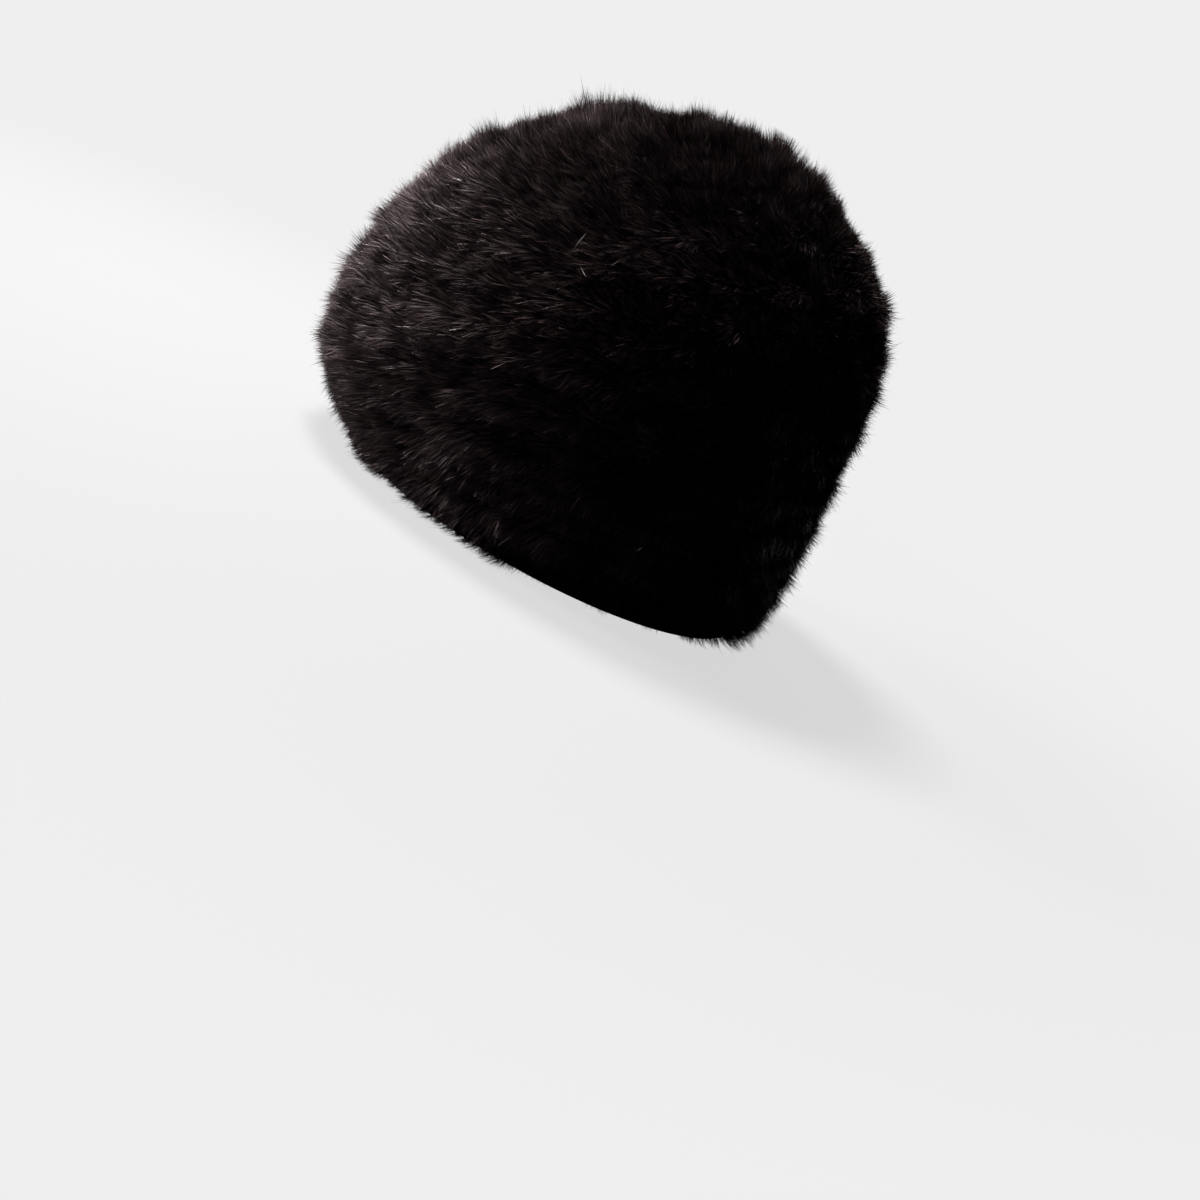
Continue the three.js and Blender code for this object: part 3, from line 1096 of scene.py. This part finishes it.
def make_floor():
    """A pale disc that fades into the background."""
    deselect_all()
    bpy.ops.mesh.primitive_circle_add(vertices=128, radius=2.0, fill_type="NGON", location=(0, 0, 0))
    floor = bpy.context.object
    floor.name = "floor"
    material, tree, shader = surface("pale_floor")
    nodes, links = tree.nodes, tree.links
    shader.inputs["Base Color"].default_value = grey(FLOOR_GREY)
    shader.inputs["Roughness"].default_value = 0.9
    shader.inputs["Specular IOR Level"].default_value = 0.0
    glow = nodes.new("ShaderNodeEmission")
    glow.inputs["Color"].default_value = grey(1.0)
    glow.inputs["Strength"].default_value = FLOOR_GLOW
    lit = nodes.new("ShaderNodeAddShader")
    links.new(shader.outputs[0], lit.inputs[0])
    links.new(glow.outputs[0], lit.inputs[1])
    unseen = nodes.new("ShaderNodeBsdfDiffuse")
    unseen.inputs["Color"].default_value = grey(FLOOR_GREY_TO_HAT)
    path = nodes.new("ShaderNodeLightPath")
    by_ray = mix_shaders(tree, path.outputs["Is Camera Ray"], unseen, lit)
    place = nodes.new("ShaderNodeTexCoord")
    length = nodes.new("ShaderNodeVectorMath")
    length.operation = "LENGTH"
    links.new(place.outputs["Object"], length.inputs[0])
    fade = nodes.new("ShaderNodeMapRange")
    fade.interpolation_type = "SMOOTHSTEP"
    fade.inputs["From Min"].default_value, fade.inputs["From Max"].default_value = FLOOR_FADE
    links.new(length.outputs["Value"], fade.inputs["Value"])
    clear = nodes.new("ShaderNodeBsdfTransparent")
    by_place = mix_shaders(tree, fade.outputs["Result"], by_ray, clear)
    links.new(by_place.outputs[0], nodes["Material Output"].inputs["Surface"])
    floor.data.materials.append(material)


# The point that every light is turned to
LIGHT_AIM = Vector((0, 0, 0.1))
# Name, place, width in metres and power in watts of each soft light
LIGHTS = (
    ("key", (0.15, -1.25, 0.60), 0.4, 22.0),
    ("top", (-0.24, -0.62, 1.32), 0.4, 52.0),
    ("far_side", (-1.35, -0.1, 0.5), 0.9, 8.0),
    ("back", (-1.15, 0.85, 0.5), 0.9, 2.8),
)


def make_lights():
    """A key from the front of the hat, a top light, and two weak lights from its far side and back."""
    for name, place, size, power in LIGHTS:
        lamp = bpy.data.lights.new(name, "AREA")
        lamp.shape = "DISK"
        lamp.size = size
        lamp.energy = power
        light = bpy.data.objects.new(name, lamp)
        light.location = place
        aim = LIGHT_AIM - Vector(place)
        light.rotation_euler = aim.to_track_quat("-Z", "Y").to_euler()
        bpy.context.collection.objects.link(light)


# The picture's side in pixels, where in it the middle of the hat lies, and the focal length
PICTURE = 1200
HAT_IN_PICTURE = (620.8, 320.5)
FOCAL_PIXELS = 2134
SENSOR_MM = 36
HAT_MIDDLE = Vector((0, 0, 0.105))


def make_camera(scene, studio):
    """The camera beside the hat, turned so that the hat lies where the picture has it."""
    azimuth, elevation, roll = studio.azimuth, studio.elevation, studio.roll
    level = Vector((-math.sin(azimuth), math.cos(azimuth), 0))
    look = level * math.cos(elevation) - Vector((0, 0, math.sin(elevation)))
    level_right = look.cross(Vector((0, 0, 1))).normalized()
    level_up = level_right.cross(look)
    right = level_right * math.cos(roll) + level_up * math.sin(roll)
    up = level_up * math.cos(roll) - level_right * math.sin(roll)
    across = (HAT_IN_PICTURE[0] - PICTURE / 2) / FOCAL_PIXELS
    above = (PICTURE / 2 - HAT_IN_PICTURE[1]) / FOCAL_PIXELS
    reach = math.sqrt(1 + across**2 + above**2)
    ahead = (look - (right * across + up * above) / reach).normalized()
    right = (right - ahead * right.dot(ahead)).normalized()
    up = right.cross(ahead)
    camera_data = bpy.data.cameras.new("camera")
    camera_data.sensor_width = SENSOR_MM
    camera_data.lens = SENSOR_MM * FOCAL_PIXELS / PICTURE
    camera_data.clip_start = 0.01
    camera = bpy.data.objects.new("camera", camera_data)
    place = HAT_MIDDLE - look * studio.distance
    turned = Matrix((right, up, -ahead)).transposed().to_4x4()
    camera.matrix_world = Matrix.Translation(place) @ turned
    bpy.context.collection.objects.link(camera)
    scene.camera = camera


class BEANIE_PT_panel(bpy.types.Panel):
    """Lists the pieces of the beanie"""
    bl_label = "Knitted Fur Beanie"
    bl_idname = "BEANIE_PT_panel"
    bl_space_type = "VIEW_3D"
    bl_region_type = "UI"
    bl_category = "Beanie"

    def draw(self, context):
        for group in ("beanie_fur", "beanie_knit", "beanie_studio"):
            box = self.layout.box()
            settings = getattr(context.scene, group)
            for name in settings.__annotations__:
                box.prop(settings, name)
        for operator in OPERATORS:
            self.layout.operator(operator.bl_idname)


OPERATORS = (
    BEANIE_OT_knit_ground,
    BEANIE_OT_rim_edge,
    BEANIE_OT_fur_rounds,
    BEANIE_OT_crown,
    BEANIE_OT_studio,
)
CLASSES = (FurSettings, KnitSettings, StudioSettings, *OPERATORS, BEANIE_PT_panel)


def register():
    """Adds the classes and the settings."""
    for item in CLASSES:
        bpy.utils.register_class(item)
    bpy.types.Scene.beanie_fur = PointerProperty(type=FurSettings)
    bpy.types.Scene.beanie_knit = PointerProperty(type=KnitSettings)
    bpy.types.Scene.beanie_studio = PointerProperty(type=StudioSettings)


def unregister():
    """Takes the settings and the classes out again."""
    del bpy.types.Scene.beanie_studio
    del bpy.types.Scene.beanie_knit
    del bpy.types.Scene.beanie_fur
    for item in reversed(CLASSES):
        bpy.utils.unregister_class(item)


def main():
    """Builds every piece and the stage."""
    register()
    bpy.ops.beanie.knit_ground()
    bpy.ops.beanie.rim_edge()
    bpy.ops.beanie.fur_rounds()
    bpy.ops.beanie.crown()
    bpy.ops.beanie.studio()


if __name__ == "__main__":
    main()
